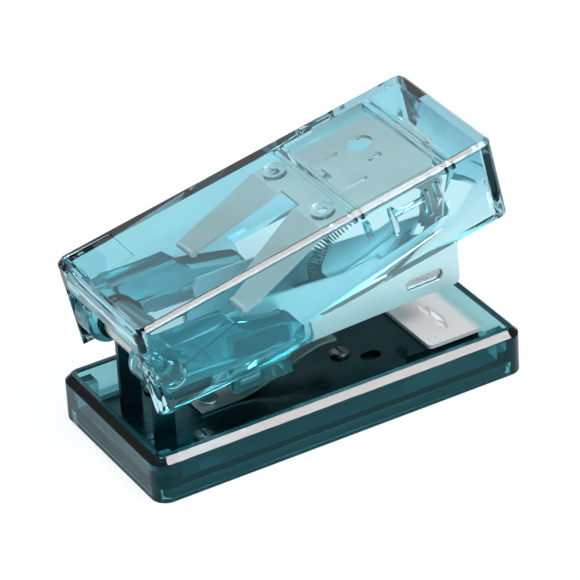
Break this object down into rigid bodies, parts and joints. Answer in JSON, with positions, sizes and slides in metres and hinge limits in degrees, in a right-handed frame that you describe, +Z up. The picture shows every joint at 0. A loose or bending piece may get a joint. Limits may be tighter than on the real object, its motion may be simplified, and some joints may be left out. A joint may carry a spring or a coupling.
{
  "type": "stapler",
  "caption": "Small desk stapler with a clear teal plastic base and cover, a steel magazine on one rear pivot, a driver spring and a flat anvil.",
  "frame": {"origin": "middle of the underside of the non-slip mat, on the table", "axes": "+X towards the jaw, along the length; +Y to the left seen from behind; +Z up"},
  "size_m": [0.0751, 0.036, 0.0479],
  "materials": {
    "teal_clear_plastic": "transparent deep teal moulding, polished",
    "holder_clear_plastic": "transparent teal-blue moulding, polished",
    "blue_clear_plastic": "transparent light blue moulding, polished",
    "rubber": "matt dark rubber",
    "plate_steel": "plated sheet steel, satin",
    "bright_steel": "bright turned steel",
    "chrome": "polished nickel-chrome plate",
    "spring_steel": "tempered strip, satin",
    "magazine_steel": "bright plated sheet steel",
    "staple_wire": "galvanised wire",
    "spring_wire": "bright music wire",
    "pusher_plastic": "dark moulded nylon",
    "driver_steel": "matt tempered sheet steel"
  },
  "bodies": {
    "base": {"base_shell": "teal_clear_plastic", "nonslip_mat": "rubber", "base_plate": "plate_steel", "plate_screw_left": "bright_steel", "plate_screw_right": "bright_steel", "plate_screw_front": "bright_steel", "anvil": "chrome", "anvil_rivet_left": "chrome", "anvil_rivet_right": "chrome", "lift_spring": "spring_steel", "lift_spring_rivet": "bright_steel", "pivot_pin": "bright_steel", "pivot_spacer": "plate_steel"},
    "magazine": {"magazine_channel": "magazine_steel", "magazine_holder": "holder_clear_plastic", "staple_rail": "magazine_steel", "staple_strip": "staple_wire", "channel_rivet_rear": "bright_steel", "channel_rivet_front": "bright_steel", "pusher_spring": "spring_wire"},
    "pusher": {"pusher": "pusher_plastic"},
    "cover": {"cover_shell": "blue_clear_plastic", "driver_spring": "driver_steel"}
  },
  "joints": [
    {"name": "magazine_hinge", "type": "hinge", "parent": "base", "child": "magazine", "pos_m": [-0.0312, 0, 0.0234], "axis": [0, 1, 0], "range_deg": [0, 7.6], "stiffness_Nm_per_rad": 1.5, "springref_deg": -3.44, "deforming": ["lift_spring"]},
    {"name": "cover_hinge", "type": "hinge", "parent": "magazine", "child": "cover", "pos_m": [-0.0312, 0, 0.0234], "axis": [0, 1, 0], "range_deg": [-95, 6.8], "stiffness_Nm_per_rad": 0.6, "deforming": ["pusher_spring"]},
    {"name": "pusher_slide", "type": "slide", "parent": "magazine", "child": "pusher", "axis": [0.9992, 0, 0.0401], "range_m": [-0.019, 0], "stiffness_N_per_m": 50, "springref_m": 0.01}
  ]
}
